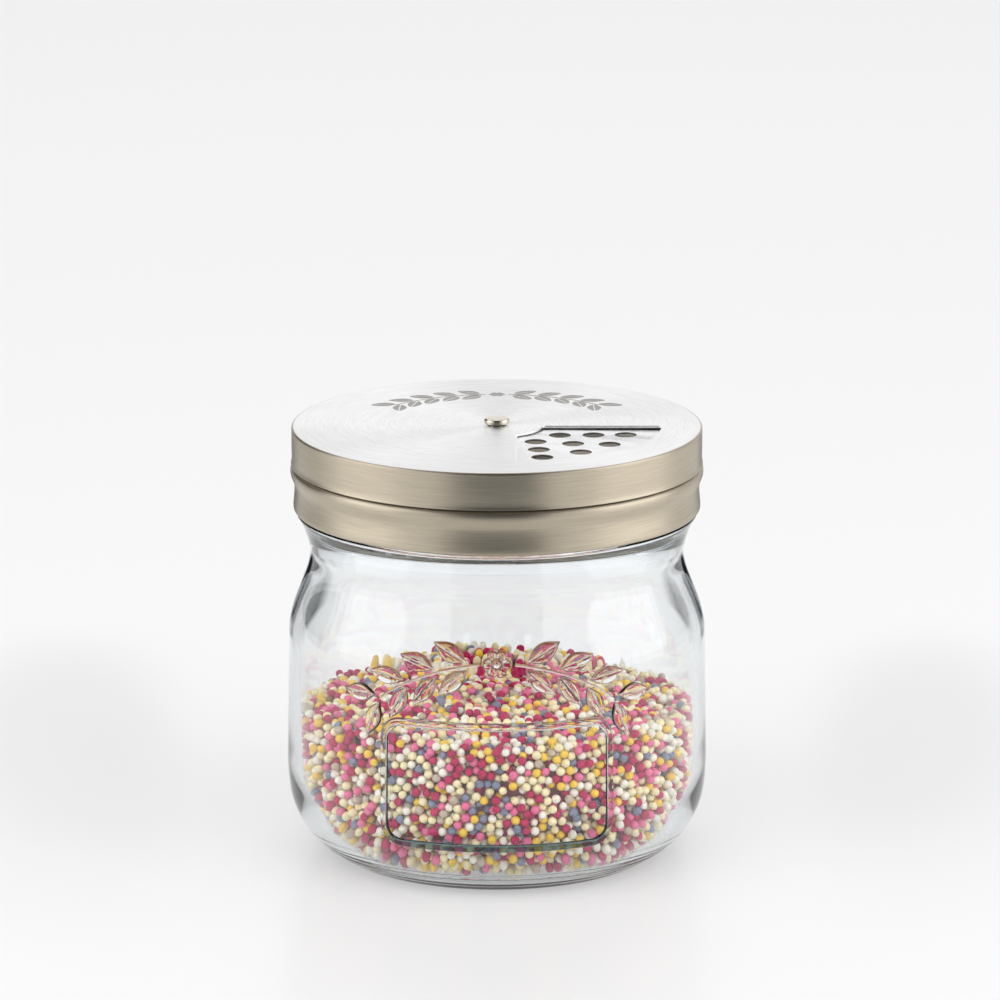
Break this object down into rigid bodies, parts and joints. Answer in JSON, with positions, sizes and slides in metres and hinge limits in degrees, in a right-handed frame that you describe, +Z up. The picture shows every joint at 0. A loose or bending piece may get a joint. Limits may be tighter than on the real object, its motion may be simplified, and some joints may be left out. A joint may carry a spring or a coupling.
{
  "type": "shaker jar",
  "caption": "Round glass shaker jar with coloured sugar balls inside and a two-part steel lid whose upper cap turns to open a sieve quarter.",
  "frame": {"origin": "on the table under the middle of the jar's foot ring", "axes": "+Z up along the jar's axis, -Y towards the raised frame on the front, +X to the right of someone facing it"},
  "size_m": [0.081, 0.0813, 0.0852],
  "materials": {
    "glass": "clear, smooth, faintly green at the edges",
    "sugar": "matt sugar, mixed colours",
    "seal": "matt, soft",
    "steel_cap": "fine circular brushing",
    "steel_selector": "fine circular brushing",
    "steel_rivet": "polished",
    "steel_washer": "plain"
  },
  "bodies": {
    "jar": {"glass_jar": "glass", "sprinkles": "sugar"},
    "seal": {"seal_ring": "seal"},
    "cap": {"screw_cap": "steel_cap", "rivet": "steel_rivet", "backing_washer": "steel_washer"},
    "selector": {"selector_cap": "steel_selector"}
  },
  "joints": [
    {"name": "cap_rise", "type": "slide", "parent": "jar", "child": "seal", "axis": [0, 0, 1], "range_m": [0, 0.018]},
    {"name": "cap_turn", "type": "hinge", "parent": "seal", "child": "cap", "pos_m": [0, 0, 0.0755], "axis": [0, 0, 1], "range_deg": [0, 360]},
    {"name": "selector_turn", "type": "hinge", "parent": "cap", "child": "selector", "pos_m": [0, 0, 0.0835], "axis": [0, 0, 1], "continuous": true}
  ],
  "couplings": [
    {"joint": "cap_rise", "follows": "cap_turn", "m_per_rad": 0.0028647}
  ]
}
